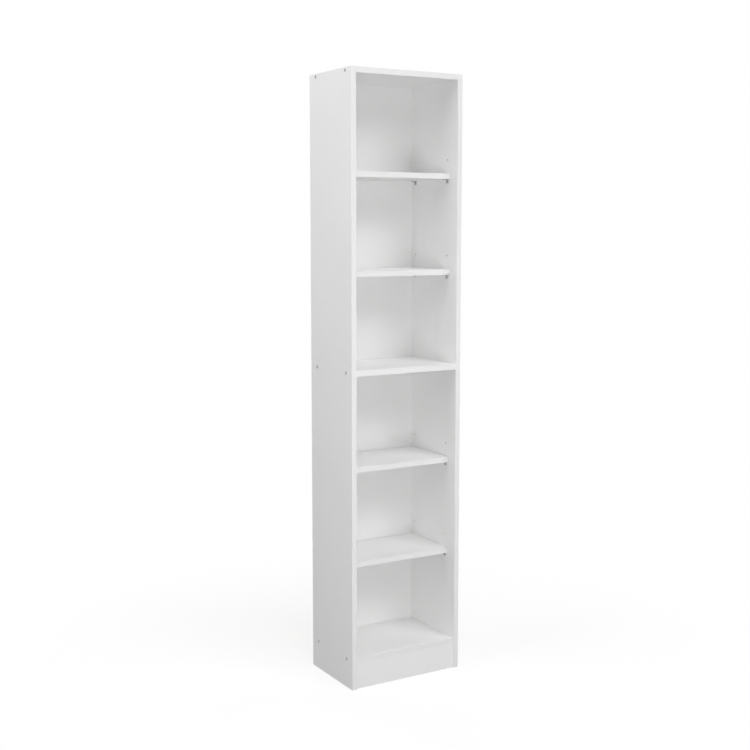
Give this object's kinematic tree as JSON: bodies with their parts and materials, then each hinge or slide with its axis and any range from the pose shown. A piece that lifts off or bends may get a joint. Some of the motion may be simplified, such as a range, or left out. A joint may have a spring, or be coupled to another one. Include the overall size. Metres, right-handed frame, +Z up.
{
  "type": "bookcase with adjustable shelves",
  "caption": "Tall narrow open-fronted bookcase with a plinth, a fixed middle shelf and adjustable shelves on pull-out pin supports.",
  "frame": {"origin": "on the floor, under the middle of the case", "axes": "+X to the right for someone facing the open front, +Y towards the back, +Z up"},
  "size_m": [0.376, 0.25, 1.8],
  "materials": {
    "white_board": "white melamine faces on chipboard, fine pearl texture, satin",
    "edge_band": "white plastic edge band, satin",
    "back_hardboard": "hardboard, painted white inside, bare brown and mesh-marked outside",
    "zinc_steel": "bright zinc plate",
    "support_steel": "zinc plate, slightly dull",
    "nail_steel": "bright drawn steel",
    "beech": "plain beech, fluted by the maker, not coated"
  },
  "bodies": {
    "carcass": {"side_panel_left": "white_board", "side_panel_left_front_band": "edge_band", "side_panel_left_top_band": "edge_band", "assembly_screws_left": "zinc_steel", "side_panel_right": "white_board", "side_panel_right_front_band": "edge_band", "side_panel_right_top_band": "edge_band", "assembly_screws_right": "zinc_steel", "top_panel": "white_board", "top_panel_edge_band": "edge_band", "fixed_shelf": "white_board", "fixed_shelf_edge_band": "edge_band", "bottom_panel": "white_board", "bottom_panel_edge_band": "edge_band", "plinth_board": "white_board", "back_sheet_upper": "back_hardboard", "back_sheet_lower": "back_hardboard", "wooden_dowels": "beech", "back_nails": "nail_steel"},
    "shelf_1": {"adjustable_shelf_1": "white_board", "adjustable_shelf_1_edge_band": "edge_band"},
    "support_1_left_front": {"shelf_support_1_left_front": "support_steel"},
    "support_1_left_rear": {"shelf_support_1_left_rear": "support_steel"},
    "support_1_right_front": {"shelf_support_1_right_front": "support_steel"},
    "support_1_right_rear": {"shelf_support_1_right_rear": "support_steel"},
    "shelf_2": {"adjustable_shelf_2": "white_board", "adjustable_shelf_2_edge_band": "edge_band"},
    "support_2_left_front": {"shelf_support_2_left_front": "support_steel"},
    "support_2_left_rear": {"shelf_support_2_left_rear": "support_steel"},
    "support_2_right_front": {"shelf_support_2_right_front": "support_steel"},
    "support_2_right_rear": {"shelf_support_2_right_rear": "support_steel"},
    "shelf_3": {"adjustable_shelf_3": "white_board", "adjustable_shelf_3_edge_band": "edge_band"},
    "support_3_left_front": {"shelf_support_3_left_front": "support_steel"},
    "support_3_left_rear": {"shelf_support_3_left_rear": "support_steel"},
    "support_3_right_front": {"shelf_support_3_right_front": "support_steel"},
    "support_3_right_rear": {"shelf_support_3_right_rear": "support_steel"},
    "shelf_4": {"adjustable_shelf_4": "white_board", "adjustable_shelf_4_edge_band": "edge_band"},
    "support_4_left_front": {"shelf_support_4_left_front": "support_steel"},
    "support_4_left_rear": {"shelf_support_4_left_rear": "support_steel"},
    "support_4_right_front": {"shelf_support_4_right_front": "support_steel"},
    "support_4_right_rear": {"shelf_support_4_right_rear": "support_steel"}
  },
  "joints": [
    {"name": "shelf_1_slides_out", "type": "slide", "parent": "carcass", "child": "shelf_1", "axis": [0, -1, 0], "range_m": [0, 0.246]},
    {"name": "support_1_left_front_pulls_out", "type": "slide", "parent": "carcass", "child": "support_1_left_front", "axis": [1, 0, 0], "range_m": [0, 0.008]},
    {"name": "support_1_left_rear_pulls_out", "type": "slide", "parent": "carcass", "child": "support_1_left_rear", "axis": [1, 0, 0], "range_m": [0, 0.008]},
    {"name": "support_1_right_front_pulls_out", "type": "slide", "parent": "carcass", "child": "support_1_right_front", "axis": [-1, 0, 0], "range_m": [0, 0.008]},
    {"name": "support_1_right_rear_pulls_out", "type": "slide", "parent": "carcass", "child": "support_1_right_rear", "axis": [-1, 0, 0], "range_m": [0, 0.008]},
    {"name": "shelf_2_slides_out", "type": "slide", "parent": "carcass", "child": "shelf_2", "axis": [0, -1, 0], "range_m": [0, 0.246]},
    {"name": "support_2_left_front_pulls_out", "type": "slide", "parent": "carcass", "child": "support_2_left_front", "axis": [1, 0, 0], "range_m": [0, 0.008]},
    {"name": "support_2_left_rear_pulls_out", "type": "slide", "parent": "carcass", "child": "support_2_left_rear", "axis": [1, 0, 0], "range_m": [0, 0.008]},
    {"name": "support_2_right_front_pulls_out", "type": "slide", "parent": "carcass", "child": "support_2_right_front", "axis": [-1, 0, 0], "range_m": [0, 0.008]},
    {"name": "support_2_right_rear_pulls_out", "type": "slide", "parent": "carcass", "child": "support_2_right_rear", "axis": [-1, 0, 0], "range_m": [0, 0.008]},
    {"name": "shelf_3_slides_out", "type": "slide", "parent": "carcass", "child": "shelf_3", "axis": [0, -1, 0], "range_m": [0, 0.246]},
    {"name": "support_3_left_front_pulls_out", "type": "slide", "parent": "carcass", "child": "support_3_left_front", "axis": [1, 0, 0], "range_m": [0, 0.008]},
    {"name": "support_3_left_rear_pulls_out", "type": "slide", "parent": "carcass", "child": "support_3_left_rear", "axis": [1, 0, 0], "range_m": [0, 0.008]},
    {"name": "support_3_right_front_pulls_out", "type": "slide", "parent": "carcass", "child": "support_3_right_front", "axis": [-1, 0, 0], "range_m": [0, 0.008]},
    {"name": "support_3_right_rear_pulls_out", "type": "slide", "parent": "carcass", "child": "support_3_right_rear", "axis": [-1, 0, 0], "range_m": [0, 0.008]},
    {"name": "shelf_4_slides_out", "type": "slide", "parent": "carcass", "child": "shelf_4", "axis": [0, -1, 0], "range_m": [0, 0.246]},
    {"name": "support_4_left_front_pulls_out", "type": "slide", "parent": "carcass", "child": "support_4_left_front", "axis": [1, 0, 0], "range_m": [0, 0.008]},
    {"name": "support_4_left_rear_pulls_out", "type": "slide", "parent": "carcass", "child": "support_4_left_rear", "axis": [1, 0, 0], "range_m": [0, 0.008]},
    {"name": "support_4_right_front_pulls_out", "type": "slide", "parent": "carcass", "child": "support_4_right_front", "axis": [-1, 0, 0], "range_m": [0, 0.008]},
    {"name": "support_4_right_rear_pulls_out", "type": "slide", "parent": "carcass", "child": "support_4_right_rear", "axis": [-1, 0, 0], "range_m": [0, 0.008]}
  ]
}
